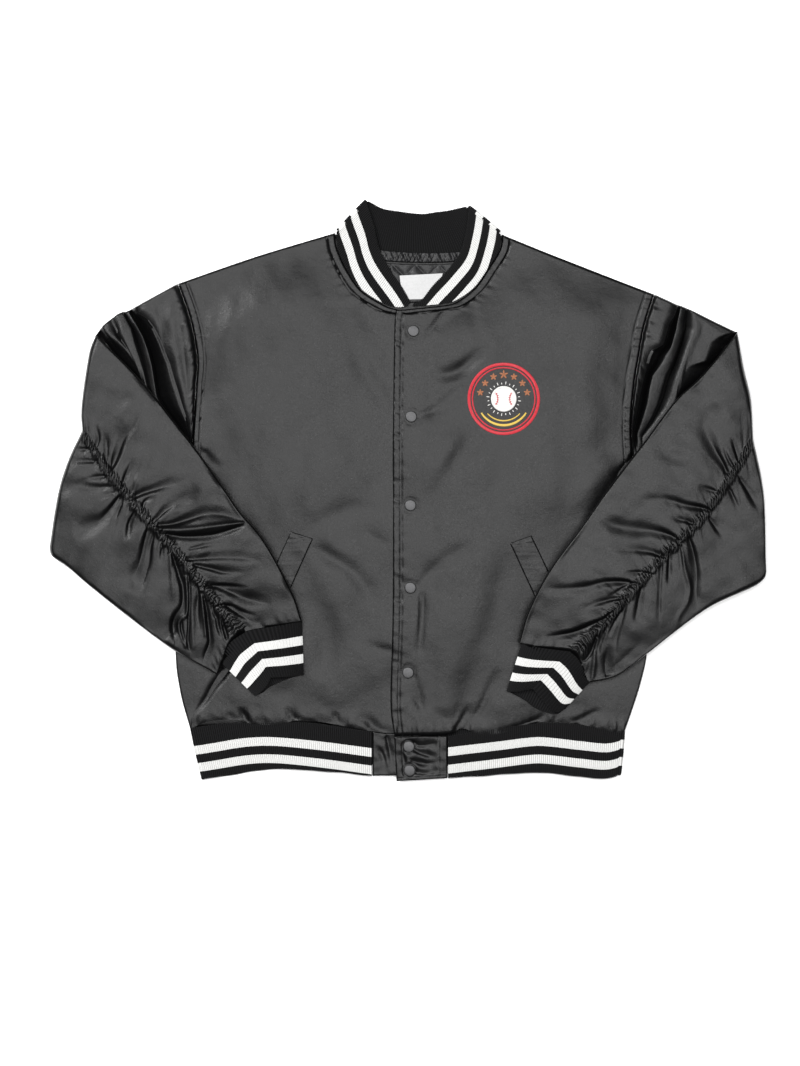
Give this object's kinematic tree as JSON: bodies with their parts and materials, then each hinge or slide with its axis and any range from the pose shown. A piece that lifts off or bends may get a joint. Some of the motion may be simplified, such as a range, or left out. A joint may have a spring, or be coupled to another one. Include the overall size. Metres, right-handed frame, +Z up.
{
  "type": "baseball jacket",
  "caption": "Satin baseball jacket laid out flat, snapped shut, with striped rib collar, cuffs and hem, welt pockets and ruched sleeves folded in over the fronts.",
  "frame": {"origin": "on the surface it lies on, under the middle of its box", "axes": "+X towards the wearer's left sleeve, +Y towards the collar, +Z up from the surface"},
  "size_m": [0.9286, 0.7548, 0.035],
  "materials": {
    "satin": "satin",
    "rib": "matte knit with two white stripes",
    "lining": "quilted taffeta",
    "label": "matte",
    "badge": "embroidery thread",
    "snap": "dark enamel"
  },
  "bodies": {
    "root": {"back_panel": "satin", "collar": "rib", "cuff_left": "rib", "cuff_right": "rib", "front_left": "satin", "front_right": "satin", "hem_rib": "rib", "hem_tab_left": "satin", "hem_tab_right": "satin", "label": "label", "lining_neck": "lining", "neck_tape": "lining", "pocket_welt_left": "satin", "pocket_welt_right": "satin", "sleeve_left_layers": "satin", "sleeve_left_over": "satin", "sleeve_left_under": "satin", "sleeve_left_upper": "satin", "sleeve_right_layers": "satin", "sleeve_right_over": "satin", "sleeve_right_under": "satin", "sleeve_right_upper": "satin", "snap_1": "snap", "snap_2": "snap", "snap_3": "snap", "snap_4": "snap", "snap_5": "snap", "snap_6": "snap", "snap_7": "snap"}
  },
  "joints": []
}
